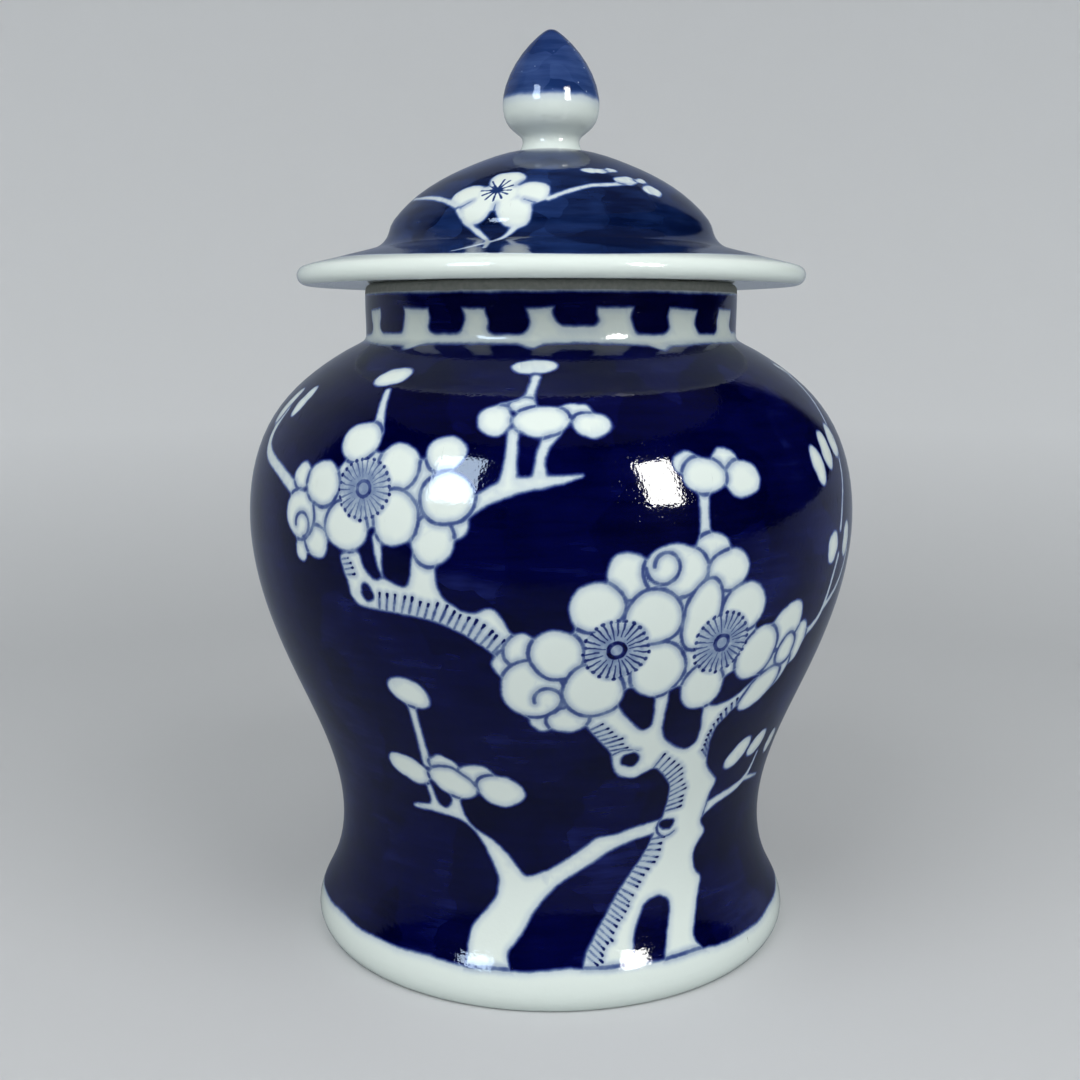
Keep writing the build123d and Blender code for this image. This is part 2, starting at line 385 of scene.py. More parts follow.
class Canvas:
    """The painting at some points of a piece: distances in mm, negative inside each shape."""

    def __init__(self, turned, azimuth, along, seed):
        self.turned = turned
        self.azimuth = azimuth
        self.along = along
        self.radius = turned.radius(along)
        self.height = turned.height(along)
        self.inside = (along < turned.outside[0]) | (along > turned.outside[1])
        self.random = np.random.default_rng(seed)
        self.face = 0.0
        count = len(along)
        self.white = np.full(count, FAR)
        self.line = np.full(count, FAR)
        self.hatch = np.full(count, FAR)
        self.rim = np.full(count, FAR)
        self.spoke = np.zeros((count, 3))

    def nearest_edge(self):
        """Distance to whatever painted edge is nearest. There are none on the inside of a piece."""
        nearest = np.minimum.reduce([np.abs(self.white), self.line, self.hatch, np.abs(self.rim)])
        return np.where(self.inside, FAR, np.maximum(nearest, 0))

    def store(self, mesh):
        """Keeps the painting on the mesh's points."""
        self.white[self.inside] = -FAR
        self.line[self.inside] = FAR
        fields = {"white": self.white, "line": self.line, "hatch": self.hatch, "rim": self.rim}
        for name, values in fields.items():
            layer = mesh.attributes.new(name, "FLOAT", "POINT")
            layer.data.foreach_set("value", values.astype(np.float32))
        layer = mesh.attributes.new("spoke", "FLOAT_VECTOR", "POINT")
        layer.data.foreach_set("vector", self.spoke.astype(np.float32).ravel())

    # Measuring

    def near(self, place, reach):
        """The points within reach of a place: their numbers, and mm to the right and up from it."""
        up = self.turned.along(place[1]) - self.along
        turn = (self.azimuth - place[0] - self.face + 180) % 360 - 180
        right = np.radians(turn) * self.radius
        picked = np.flatnonzero((np.abs(right) < reach) & (np.abs(up) < reach) & ~self.inside)
        return picked, right[picked], up[picked]

    def spot(self, origin, place):
        """A place as millimetres right of and up from the origin."""
        along = self.turned.along(place[1])
        right = math.radians(place[0] - origin[0]) * self.turned.radius(along)
        return np.array([right, self.turned.along(origin[1]) - along])

    def oval(self, place, wide, tall, tilt=0):
        """Signed distance to a hand-drawn oval of these half sizes."""
        picked, right, up = self.near(place, max(wide, tall) + FAR)
        c, s = math.cos(math.radians(tilt)), math.sin(math.radians(tilt))
        across, over = right * c + up * s, up * c - right * s
        scaled = np.hypot(across / wide, over / tall)
        gradient = np.hypot(across / wide**2, over / tall**2)
        distance = scaled * (scaled - 1) / np.maximum(gradient, 1e-6)
        round_it = np.arctan2(over, across)
        for waves, phase in zip((2, 3, 5), self.random.uniform(0, 2 * math.pi, 3)):
            distance = distance + WOBBLE / waves * 1.6 * np.sin(waves * round_it + phase)
        return picked, distance

    def trail(self, origin, points, widths):
        """Signed distance to a brush stroke through points in mm from the origin."""
        reach = np.abs(points).max() + max(widths) / 2 + FAR
        picked, right, up = self.near(origin, reach)
        nearest = np.full(len(picked), FAR)
        for a, b, wa, wb in zip(points[:-1], points[1:], widths[:-1], widths[1:]):
            away, share = from_segment(right, up, a, b)
            nearest = np.minimum(nearest, away - (wa + (wb - wa) * share) / 2)
        return picked, nearest

    def stroke(self, *stations):
        """A brush stroke as a smooth curve through (azimuth, height, width) stations."""
        origin = stations[len(stations) // 2][:2]
        points = np.array([self.spot(origin, s[:2]) for s in stations])
        widths = np.array([s[2] for s in stations], float)
        if len(stations) > 2:
            gaps = np.hypot(*np.diff(points, axis=0).T)
            x = np.concatenate([[0], np.cumsum(gaps)])
            at = np.linspace(0, x[-1], max(8, int(x[-1] / STROKE_STEP)))
            points = np.stack([natural_spline(x, c, at) for c in points.T], 1)
            widths = np.interp(at, x, widths)
        return self.trail(origin, points, widths)

    # Painting

    def leave_white(self, picked, distance):
        self.white[picked] = run_together(self.white[picked], distance)

    def draw_line(self, picked, distance):
        """Adds to the thin blue lines."""
        self.line[picked] = np.minimum(self.line[picked], distance)

    def draw_dark(self, picked, distance):
        """Adds to the darkest strokes."""
        self.hatch[picked] = np.minimum(self.hatch[picked], distance)

    def petal(self, azimuth, height, wide, tall, tilt=0):
        """A white petal or bud over what lies behind it. A blue line parts it from other white."""
        picked, distance = self.oval((azimuth, height), wide, tall, tilt)
        within = distance < 0
        edge = np.maximum(np.abs(distance) - OUTLINE / 2, self.white[picked] + 0.1)
        self.line[picked] = np.where(within, edge, np.minimum(self.line[picked], edge))
        self.hatch[picked] = np.where(within, FAR, self.hatch[picked])
        self.rim[picked] = np.where(within, FAR, self.rim[picked])
        self.leave_white(picked, distance)

    def mass(self, azimuth, height, wide, tall, tilt=0):
        """Plain white with no line round it."""
        self.leave_white(*self.oval((azimuth, height), wide, tall, tilt))

    def petals(self, *petals):
        for petal in petals:
            self.petal(*petal)

    def masses(self, *masses):
        for mass in masses:
            self.mass(*mass)

    def area(self, *places):
        """Plain white inside a closed outline of (azimuth, height) places."""
        origin = tuple(np.mean(places, axis=0))
        corners = softened(np.array([self.spot(origin, p) for p in places]))
        picked, right, up = self.near(origin, np.abs(corners).max() + FAR)
        nearest = np.full(len(picked), FAR)
        within = np.zeros(len(picked), bool)
        for a, b in zip(corners, np.roll(corners, -1, axis=0)):
            away, _ = from_segment(right, up, a, b)
            nearest = np.minimum(nearest, away)
            crossed = (a[1] > up) != (b[1] > up)
            if a[1] != b[1]:
                step = b - a
                within ^= crossed & (right < a[0] + step[0] * (up - a[1]) / step[1])
        self.leave_white(picked, np.where(within, -nearest, nearest))

    def hole(self, azimuth, height, wide, tall, tilt=0):
        """An oval of blue ground left inside white."""
        picked, distance = self.oval((azimuth, height), wide, tall, tilt)
        self.white[picked] = np.maximum(self.white[picked], -distance)

    def branch(self, *stations):
        """A white brush stroke through (azimuth, height, width) stations."""
        picked, distance = self.stroke(*stations)
        self.leave_white(picked, distance - BRANCH_SPREAD)

    def ink(self, *stations):
        """A blue line on white through (azimuth, height, width) stations."""
        self.draw_line(*self.stroke(*stations))

    def curl(self, azimuth, height, size, start, sweep, close=0.75):
        """A blue line that winds in like a snail's shell to close times its first size."""
        share = np.linspace(0, 1, CURL_POINTS)
        angle = np.radians(start + sweep * share)
        away = size * (1 - (1 - close) * share)
        points = np.stack([away * np.cos(angle), away * np.sin(angle)], 1)
        self.draw_line(*self.trail((azimuth, height), points, np.full(len(share), OUTLINE)))

    def comb(self, edge, count, lean, long, width=0.6):
        """Short strokes with dark tips, side by side from an edge. Their angle goes from lean[0]
        to lean[1]."""
        points = np.array(edge, float)
        x = np.concatenate([[0], np.cumsum(np.hypot(*np.diff(points, axis=0).T))])
        for share in (np.arange(count) + 0.5) / count:
            place = [np.interp(share * x[-1], x, c) for c in points.T]
            angle = math.radians(np.interp(share, (0, 1), lean) + self.random.uniform(-4, 4))
            reach = long * self.random.uniform(0.85, 1.1)
            way = np.array([math.cos(angle), math.sin(angle)])
            body = np.array([way * -0.4, way * reach * 0.7, way * reach])
            self.draw_line(*self.trail(place, body, [width] * 3))
            tip = np.array([way * reach * 0.72, way * reach])
            self.draw_dark(*self.trail(place, tip, [width * 0.6, width * 1.3]))

    def stamens(self, azimuth, height, wide, tall, strength):
        """The disc of stamens in an open blossom. Its spokes are drawn by the material."""
        picked, distance = self.oval((azimuth, height), wide, tall)
        again, right, up = self.near((azimuth, height), max(wide, tall) + FAR)
        inner = distance < FAR / 2
        disc = np.stack([right / wide, up / tall, np.full(len(right), strength)], 1)
        self.spoke[again[inner]] = disc[inner]
        self.rim[picked] = np.minimum(self.rim[picked], distance)
        self.line[picked] = np.where(distance < -DISC_OVERLAP, FAR, self.line[picked])
        self.leave_white(picked, distance)


# The painting on the jar ----------------------------------------------------------------

# The front teeth as (azimuth, width in mm). The others follow round the neck, evenly spaced.
TEETH = [(-53, 13), (-30.5, 11.2), (-12.1, 11.2), (6.8, 11.7), (28.8, 11.4), (51.6, 11)]
TEETH_ROUND = 17
TOOTH_WIDTH = 11.6  # mm, of the teeth further round
SHORT_TOOTH = 3  # this one of the teeth ends higher
SHORT_TOOTH_RISE = 1.9  # mm
TOOTH_ROUND = 2.2  # mm, corner of a tooth
NECK_BLUE_TOP = 185.8  # mm, top edge of the neck's blue
LIP_BARE = 186.0  # mm, height above which the lip has no glaze
TEETH_ROOT = 182.2  # mm, bottom edge of the blue between the teeth
TEETH_FOOT = 175.7  # mm
NECK_BAND_FOOT = 172.6  # mm, bottom edge of the white band
BAND_NOTCHES = (-41, -5, 30, 118, 160, -130)  # degrees round, where white runs below the band
NOTCH_DEPTH = 1.1  # mm
NOTCH_WIDTH = 2.5  # degrees
FOOT_LINE = 11.2  # mm, mean height of the white band at the foot


def waves(azimuth, *parts):
    """Hand wobble round a piece: the sum of (height, how many, shift) waves."""
    angle = np.radians(azimuth)
    return sum(size * np.sin(count * angle + shift) for size, count, shift in parts)


def neck_border(canvas):
    """White band round the neck. Blue teeth hang into it from a blue band under the bare lip."""
    jitter = np.random.default_rng(11)
    neck_radius = canvas.turned.radius(canvas.turned.along(TEETH_FOOT))
    teeth = list(TEETH)
    while len(teeth) < TEETH_ROUND:
        turn = teeth[0][0] + len(teeth) * 360 / TEETH_ROUND + jitter.uniform(-1, 1)
        teeth.append((turn, TOOTH_WIDTH + jitter.uniform(-1.2, 1.2)))
    sway = waves(canvas.azimuth, (0.2, 5, 0), (0.15, 13, 1))
    blue = np.maximum(TEETH_ROOT + sway - canvas.height, canvas.height - NECK_BLUE_TOP - 0.6 * sway)
    for i, (centre, width) in enumerate(teeth):
        foot = TEETH_FOOT
        foot += SHORT_TOOTH_RISE if i == SHORT_TOOTH else jitter.uniform(-0.25, 0.25)
        turn = (canvas.azimuth - centre + 180) % 360 - 180
        lean = jitter.uniform(-0.12, 0.12) * (canvas.height - TEETH_ROOT)
        side = np.abs(np.radians(turn) * canvas.radius + lean + 0.35 * np.sin(canvas.height + i))
        side = side - math.radians(width / 2) * neck_radius + TOOTH_ROUND
        over = np.abs(canvas.height - (NECK_BLUE_TOP + foot) / 2)
        over = over - (NECK_BLUE_TOP - foot) / 2 + TOOTH_ROUND
        corner = np.hypot(np.maximum(side, 0), np.maximum(over, 0))
        tooth = corner + np.minimum(np.maximum(side, over), 0) - TOOTH_ROUND
        blue = np.minimum(blue, tooth)
    dips = [np.exp(-(((canvas.azimuth - at) / NOTCH_WIDTH) ** 2)) for at in BAND_NOTCHES]
    foot = NECK_BAND_FOOT + waves(canvas.azimuth, (0.3, 4, 2), (0.2, 9, 0))
    band = foot - NOTCH_DEPTH * sum(dips) - canvas.height
    shape = np.maximum(band, -blue)
    canvas.white = run_together(canvas.white, np.clip(shape, -FAR, FAR))


def foot_band(canvas):
    """White band round the foot, under a line drawn by hand, with a thin line at its edge."""
    sway = waves(canvas.azimuth, (0.55, 2, 2), (0.35, 5, 0), (0.2, 11, 1), (0.15, 23, 0))
    line = FOOT_LINE + sway
    shape = np.clip((canvas.height - line) * 1.1, -FAR, FAR)
    edge = np.maximum(np.abs(shape) - OUTLINE / 2, canvas.white + 0.1)
    canvas.line = np.where(shape < 0, edge, np.minimum(canvas.line, edge))
    canvas.hatch = np.where(shape < 0, FAR, canvas.hatch)
    canvas.white = np.minimum(canvas.white, shape)


def upper_left_spray(canvas):
    canvas.branch((-66, 155, 3), (-66, 147, 3), (-58, 141.5, 3), (-49, 136.5, 3.4))
    canvas.branch((-34.2, 161.5, 1.8), (-33, 157.4, 2.1), (-31.5, 152, 3.0))
    canvas.branch((-28.6, 127, 2.2), (-28.2, 123, 2.0), (-28, 120.6, 1.2), (-27.6, 118, 0.3))
    canvas.petals(
        (-68, 156.2, 3.2, 6.4, -15), (-60, 157.8, 3.0, 5.6, -5), (-35.6, 164.8, 5.6, 3.8, 25),
    )
    canvas.masses(
        (-43, 127, 6, 5), (-44, 126, 5, 5), (-40, 132, 5, 6), (-21, 138, 6, 9),
        (-15.5, 131.5, 4.4, 3.6), (-31.8, 138.6, 10, 9.6),
    )
    canvas.petals(
        (-47.2, 140.2, 3.4, 4.0), (-45.8, 121.8, 2.9, 3.3), (-41.8, 124.2, 4.5, 4.5),
        (-46.6, 130.6, 6.5, 6.3), (-17.4, 147.7, 5.3, 4.8), (-18.6, 127.4, 5.6, 6.4),
        (-16.4, 137.6, 7.2, 6.2), (-41.2, 139, 6.3, 6.0), (-34.6, 149.6, 6.4, 5.6),
        (-25.6, 144.4, 6.0, 6.0), (-25.2, 132.2, 6.5, 6.9), (-34.9, 129.3, 7.0, 6.6),
    )
    canvas.curl(-45.9, 128.2, 3.4, -75, 265)
    canvas.stamens(-31.8, 138.6, 8.2, 8.0, 0.72)


def upper_middle_spray(canvas):
    canvas.branch(
        (-13.5, 134, 2.6),
        (-10.4, 137.6, 3.4),
        (-7, 140, 4),
        (-3, 141.3, 3),
        (1, 142, 2.2),
        (5, 143, 0.5),
    )
    canvas.branch((-6.7, 141, 4.2), (-6.4, 146.5, 2.8), (-6.3, 152.5, 2.5))
    canvas.branch((-1.6, 142, 3.4), (-1.7, 146, 2.1), (-0.4, 151, 2.5), (0.6, 152.8, 3.4))
    canvas.branch((-9, 158.8, 1), (-6.5, 159.2, 1.5), (-4.1, 160.4, 1.9))
    canvas.branch((-3, 165, 2.2), (-3.6, 162.6, 1.8), (-4.4, 159, 2.2))
    canvas.petals(
        (-3.5, 167.6, 5.8, 3.2, 4), (-5, 158.8, 3.6, 2.4), (4.6, 157.4, 4.0, 2.8, -8),
        (7.1, 154.4, 4.7, 3.9, -8), (-9.8, 155.4, 4.6, 4.5), (-1.6, 155.3, 7.0, 4.6),
    )


def right_buds(canvas):
    canvas.branch((25.1, 139, 3), (24.9, 133, 2.3), (25, 126, 3.2))
    canvas.petals(
        (22.6, 145.4, 3.6, 3.2), (30, 146, 4.2, 2.8), (33.1, 140.9, 5.6, 5.0),
        (25.6, 142.3, 6.2, 4.8),
    )


def far_right_buds(canvas):
    canvas.branch((74, 165, 2.2), (71.5, 159, 1.4), (69, 154, 1.1), (67.5, 150, 1))
    canvas.branch((67, 143, 1.2), (65.3, 136, 1.1), (63.3, 130, 1.2), (62, 124, 1.3))
    canvas.branch((61.8, 117, 1.4), (60, 109, 1.5), (58.5, 102, 1.9), (50, 96, 2.4))
    canvas.branch((68.5, 117, 1.3), (65.5, 109, 1.5), (59.5, 103.5, 2))
    canvas.petals(
        (74.5, 165.6, 4.6, 2.4, -30), (66, 147, 4.2, 5.0, 0), (60, 145.2, 3.8, 5.6, 5),
        (54.8, 142, 3.5, 5.8, 10), (66.2, 120.4, 3.6, 5.2, 0), (58.4, 119.8, 3.6, 4.8, -20),
    )


def middle_branch(canvas):
    canvas.area(
        (-36.5, 122.5), (-35.6, 118), (-34.8, 115), (-34.6, 112), (-33, 109.3), (-29, 109),
        (-25, 108.6), (-18.3, 107.5), (-13.3, 104), (-8.5, 99), (-5, 96.5), (-2, 101.5),
        (-5.8, 104.7), (-8, 111), (-9.8, 112.2), (-12, 110.4), (-14.2, 111), (-16.9, 113.6),
        (-18, 117.3), (-18, 125), (-22.2, 125), (-22.7, 117.6), (-23.7, 115.7), (-25.4, 116.4),
        (-27.5, 118), (-28.9, 116.7), (-30.9, 119), (-32, 124),
    )
    canvas.hole(-30.9, 113.3, 1.6, 2.1)
    underside = [(-29.5, 109), (-25, 108.6), (-18.3, 107.5), (-13.3, 104), (-8, 98.8)]
    canvas.comb(underside, 18, (80, 46), 5.0, 0.7)
    canvas.comb([(-36, 121.5), (-35, 116.5)], 4, (16, 8), 2.8)


def blossom_group(canvas):
    canvas.masses(
        (20, 113, 16, 7), (2, 95, 8, 8), (22, 98, 8, 9), (43, 96, 8, 8), (-1, 86, 6, 5),
        (10.8, 101, 12, 12), (30, 100.5, 11, 11),
    )
    canvas.petals(
        (26.4, 125, 5.0, 4.2), (29.6, 119.4, 6.2, 5.4), (12.2, 119.6, 5.6, 6.0),
        (19.9, 120.2, 8.4, 7.0), (-7.6, 97.4, 3.0, 4.0), (-4.8, 101.2, 4.2, 4.7),
        (-1.6, 82, 3.2, 3.4), (3.2, 82.2, 5.3, 4.2), (-3.2, 90.6, 7.8, 8.4),
        (51.2, 95.6, 4.2, 6.4), (45.6, 101.8, 7.6, 6.0, 50), (46.4, 89.6, 6.2, 6.4, 30),
        (47.6, 94.6, 4.0, 4.6, -10), (43.6, 84.6, 8.4, 4.6, 42), (39.1, 95.8, 7.0, 8.2, -12),
        (33.6, 109.2, 7.4, 6.6), (28, 88.8, 6.4, 7.2), (25.2, 108.6, 5.2, 9.4, -14),
        (7.2, 112, 7.1, 6.4), (1, 100.1, 6.6, 7.0), (7.4, 90.2, 7.6, 7.8), (18.4, 95, 7.5, 7.8),
        (16.7, 109, 7.5, 7.2),
    )
    canvas.curl(18, 121.5, 4.9, 185, 355, 0.55)
    canvas.curl(-0.6, 87.8, 4.1, -75, 270)
    canvas.stamens(30, 100.5, 8.4, 8.6, 0.86)
    canvas.stamens(10.8, 101, 8.4, 8.3, 1.05)


def main_trunk(canvas):
    canvas.area(
        (4.6, 83.5), (7.1, 79), (12, 71.3), (12.2, 68.7), (13.7, 64.4), (17.6, 62.8), (20.1, 64.5),
        (22.2, 65.7), (25.5, 61.9), (26.9, 59.3), (27.3, 56), (26.9, 49.9), (25.3, 45.9),
        (23.2, 39.8), (17.6, 32), (12.3, 22.8), (7.1, 14), (6.8, 7), (19, 7), (19.2, 13.8),
        (19.8, 17.7), (21.6, 22.4), (23.4, 25.8), (27, 27), (29.6, 25.4), (29.8, 22.9), (28.9, 20),
        (26, 11.4), (25.6, 7), (38, 7), (37, 11.6), (35.5, 13.4), (35.4, 15.1), (36.8, 18),
        (39, 24), (40.8, 29), (38.6, 31.1), (37.7, 36.8), (41.8, 42), (39.2, 44.9), (39.6, 48.4),
        (40.1, 52.9), (41.4, 57.5), (37.4, 61.6), (35.7, 64.4), (34.5, 70.6), (34.6, 74.8),
        (36, 77.5), (39.2, 81.6), (44, 86.5), (41, 88.5), (37.4, 84.6), (35, 83), (31.8, 82.6),
        (29.5, 84), (29.6, 81), (30.5, 75.6), (30.6, 72), (28.8, 70.3), (25.6, 71.8), (22.5, 74.9),
        (21.7, 78.6), (21.6, 90), (18.4, 90), (19.3, 79.5), (17.7, 77.8), (15.3, 80.6),
        (12.3, 85.3), (10, 90),
    )
    canvas.branch((39, 48.4, 3.4), (43, 50.4, 2.6), (50, 52, 2.4), (54.6, 54.6, 1.7), (56, 61, 1))
    canvas.branch((54, 53.6, 1.8), (62, 52, 0.8))
    canvas.hole(16.2, 69.2, 2.4, 1.9, 10)
    canvas.hole(28.4, 47.2, 2.1, 1.5)
    canvas.ink((12.2, 71, 0.7), (14.5, 72.2, 0.6), (17.6, 71.8, 0.4))
    canvas.ink((26.6, 49.5, 0.7), (25.8, 46.2, 0.8), (28, 43.4, 0.8), (31, 44.6, 0.5))
    canvas.ink((39.4, 46.5, 0.7), (40, 51, 0.6))
    canvas.petals(
        (62.6, 62.3, 3.2, 4.6, 10), (53.2, 64.9, 4.6, 3.8, 50), (45.8, 64.2, 5.6, 3.9, 48),
    )
    canvas.comb([(6.8, 79.4), (8.5, 77.2), (10.1, 75), (12.1, 71.8)], 7, (30, 8), 4.4)
    elbow = [(21.1, 65.6), (23.5, 63.2), (26.2, 60.4), (27.3, 56.2), (27.2, 50.6)]
    canvas.comb(elbow, 12, (62, 2), 5.2)
    canvas.comb([(24.4, 44.2), (22.8, 39.8), (17.7, 31.8)], 9, (0, -34), 4.8)
    canvas.comb([(17.4, 31.3), (12.4, 23), (7.4, 14.4)], 14, (-36, -46), 4.8)
    canvas.comb([(34.8, 66), (34.5, 72), (35.8, 77.2), (38.8, 81.2)], 11, (134, 108), 2.9, 0.75)


def lower_left_tree(canvas):
    canvas.branch((-26.4, 84, 2.1), (-26.4, 76, 1.8), (-26.6, 66, 2.4))
    canvas.area(
        (-18.5, 7), (-19.3, 17), (-18.6, 21), (-15.2, 25.7), (-13.1, 28.8), (-12.2, 33.7),
        (-15.1, 41.5), (-17.5, 46.5), (-20.7, 49.7), (-28, 50.9), (-33.1, 50.7), (-34, 51.8),
        (-31.6, 53.1), (-27.9, 53.2), (-28.5, 60), (-26.9, 60), (-26, 54.1), (-24.4, 52.8),
        (-22.5, 54.8), (-22.6, 60), (-20, 60), (-20.1, 53), (-18.2, 48.5), (-12.4, 44.5),
        (-9.1, 40.1), (-5.9, 35.2), (-4.1, 35.6), (0.1, 37.4), (6.8, 42.4), (10.8, 46.3),
        (15.1, 46.4), (20.2, 48.3), (27.4, 49.4), (26, 44.9), (20.6, 44), (14.5, 41.7),
        (10.3, 38.5), (5.6, 35.3), (2.3, 32.9), (-0.7, 29.5), (-4, 24.8), (-5.6, 21.1),
        (-7.5, 17.6), (-9.6, 15), (-8.3, 10.5), (-8, 7),
    )
    canvas.petals(
        (-22.6, 66.2, 4.6, 3.2, -10), (-15.4, 64, 5.4, 3.8, -12), (-31.8, 63.4, 6.6, 4.4, -20),
        (-10.6, 60, 6.8, 5.0, -14), (-21.4, 61.2, 7.2, 4.5, -22), (-26.2, 87.2, 6.4, 4.3, -28),
    )


def plum_tree(canvas):
    """The whole tree on one face of the jar, from what lies furthest back to the front."""
    for part in (
        far_right_buds,
        right_buds,
        upper_middle_spray,
        middle_branch,
        lower_left_tree,
        main_trunk,
        upper_left_spray,
        blossom_group,
    ):
        part(canvas)


def jar_painting(turned, seed=5):
    def paint(azimuth, along):
        canvas = Canvas(turned, azimuth, along, seed)
        for canvas.face in (0.0, 180.0):
            plum_tree(canvas)
        neck_border(canvas)
        foot_band(canvas)
        return canvas

    return paint


# The painting on the lid and the knob ---------------------------------------------------

KNOB_LINE = 240.8  # mm, below this the knob is white
LID_STAMENS = 12
LID_STAMEN_WIDTHS = (0.9, 0.45, 0.6)  # mm, at the middle, partway and at the tip
LID_FLOWER_MIDDLE = (-20.2, 212.2)
LID_BLUE_EDGE = 64.8  # mm, mean radius at which the flange's blue ends
LID_FLANGE_TOP = 198  # mm, the flange lies below this height


def lid_spray(canvas):
    canvas.branch((-76, 212.3, 0.9), (-60, 211.8, 1.0), (-44, 210.6, 1.2), (-34, 208.4, 1.4))
    canvas.branch((-32.4, 207.1, 1.2), (-26.4, 203, 1.3), (-19.5, 199.4, 1.3), (-15.5, 196.4, 0.8))
    canvas.branch((-9.6, 204, 1.6), (-13.5, 200, 1.3), (-18, 197.5, 1.3), (-22, 195.6, 0.8))
    canvas.branch((-1, 209.6, 1), (7.7, 212, 1.1), (17.6, 213.6, 1.2), (26.6, 214.1, 1.4), (33, 215, 1.5))
    canvas.petals(
        (30.1, 218.4, 2.6, 1.4), (20.8, 218, 3.6, 1.9), (33.4, 215.4, 4.0, 2.3),
        (42, 215.6, 2.2, 1.5), (43, 212.9, 3.6, 2.4),
    )
    canvas.mass(-19.4, 210.9, 6.4, 5.6)
    canvas.masses(
        (-18.4, 215.2, 4.9, 4.5), (-6.6, 211.6, 4.9, 4.4), (-11.9, 206.4, 5.0, 4.9),
        (-25.4, 207.4, 5.0, 4.9), (-31.6, 211.2, 4.7, 4.4),
    )
    for notch, inward in (
        ((-18.8, 204.6), (-18.8, 208.4)),
        ((-4.8, 208.4), (-9.4, 209.6)),
        ((-9.6, 215.4), (-13.6, 213.4)),
        ((-27.6, 215), (-24.8, 213.2)),
        ((-31.6, 208), (-28, 209.6)),
    ):
        canvas.ink((*notch, 0.8), (*inward, 0.2))
    for i in range(LID_STAMENS):
        turn = math.radians(i * 360 / LID_STAMENS + canvas.random.uniform(-7, 7))
        reach = canvas.random.uniform(3.6, 5.0)
        tip = reach * np.array([math.cos(turn), math.sin(turn)])
        points = np.array([tip * 0.1, tip * 0.6, tip])
        canvas.draw_dark(*canvas.trail(LID_FLOWER_MIDDLE, points, LID_STAMEN_WIDTHS))


def lid_painting(turned, seed=8):
    def paint(azimuth, along):
        canvas = Canvas(turned, azimuth, along, seed)
        for canvas.face in (0.0, 180.0):
            lid_spray(canvas)
        edge = LID_BLUE_EDGE + waves(azimuth, (3.7, 2, math.pi / 2), (0.5, 5, 1), (0.3, 9, 0))
        shape = np.where(canvas.height < LID_FLANGE_TOP, edge - canvas.radius, FAR)
        canvas.white = np.minimum(canvas.white, np.clip(shape, -FAR, FAR))
        return canvas

    return paint


def knob_painting(turned, seed=3):
    def paint(azimuth, along):
        canvas = Canvas(turned, azimuth, along, seed)
        line = KNOB_LINE + waves(azimuth, (0.3, 1, 2), (0.15, 4, 0), (0.1, 9, 1))
        canvas.white = np.clip(canvas.height - line, -FAR, FAR)
        return canvas

    return paint


def plain(turned):
    def paint(azimuth, along):
        canvas = Canvas(turned, azimuth, along, 0)
        canvas.white[:] = -FAR
        return canvas

    return paint


# Materials -------------------------------------------------------------------------------


def feed(tree, value, socket):
    """Gives a material input its value: a number, a colour, a Field or another node's output."""
    if isinstance(value, Field):
        value = value.socket
    if isinstance(value, bpy.types.NodeSocket):
        tree.links.new(value, socket)
    else:
        socket.default_value = value


def new_node(tree, kind, inputs):
    node = tree.nodes.new("ShaderNode" + kind)
    for name, value in inputs.items():
        feed(tree, value, node.inputs[name])
    return node


class Field:
    """A number in a material. Arithmetic on it adds math nodes."""

    def __init__(self, tree, socket):
        self.tree = tree
        self.socket = socket

    def math(self, operation, *others, clamp=False):
        node = self.tree.nodes.new("ShaderNodeMath")
        node.operation = operation
        node.use_clamp = clamp
        for i, value in enumerate((self, *others)):
            feed(self.tree, value, node.inputs[i])
        return Field(self.tree, node.outputs[0])

    def __add__(self, other):
        return self.math("ADD", other)

    def __sub__(self, other):
        return self.math("SUBTRACT", other)

    def __mul__(self, other):
        return self.math("MULTIPLY", other)

    def __truediv__(self, other):
        return self.math("DIVIDE", other)

    def most(self, other):
        return self.math("MAXIMUM", other)

    def step(self, low, high):
        """Rises smoothly from 0 at low to 1 at high. Falls if low is above high."""
        first, last = (1.0, 0.0) if low > high else (0.0, 1.0)
        inputs = {"Value": self, "From Min": min(low, high), "From Max": max(low, high)}
        node = new_node(self.tree, "MapRange", inputs | {"To Min": first, "To Max": last})
        node.interpolation_type = "SMOOTHSTEP"
        return Field(self.tree, node.outputs["Result"])


def srgb(*channels):
    """A colour given as 0-255 screen values, in the linear values that Blender uses."""
    scaled = [c / 255 for c in channels]
    return [c / 12.92 if c <= 0.04045 else ((c + 0.055) / 1.055) ** 2.4 for c in scaled] + [1]


def attribute(tree, name):
    node = tree.nodes.new("ShaderNodeAttribute")
    node.attribute_name = name
    return node


def drawn_field(tree, name):
    return Field(tree, attribute(tree, name).outputs["Fac"])


def axes_of(tree, vector):
    """The three numbers that make up a vector or a colour."""
    split = new_node(tree, "SeparateXYZ", {"Vector": vector})
    return [Field(tree, split.outputs[axis]) for axis in ("X", "Y", "Z")]


def surface_place(tree, stretch=(1, 1, 1)):
    """The point being shaded, in millimetres, stretched along each axis."""
    place = tree.nodes.new("ShaderNodeTexCoord").outputs["Object"]
    scale = [s / MM for s in stretch]
    return new_node(tree, "Mapping", {"Vector": place, "Scale": scale}).outputs["Vector"]


def shaken(tree, place, size, reach):
    """The place pushed about by lumps of this size, so that straight edges wander."""
    lumps = new_node(tree, "TexNoise", {"Vector": place, "Scale": 1 / size})
    push = tree.nodes.new("ShaderNodeVectorMath")
    push.operation = "MULTIPLY_ADD"
    push.inputs[1].default_value = [reach] * 3
    tree.links.new(lumps.outputs["Color"], push.inputs[0])
    tree.links.new(place, push.inputs[2])
    return push.outputs["Vector"]


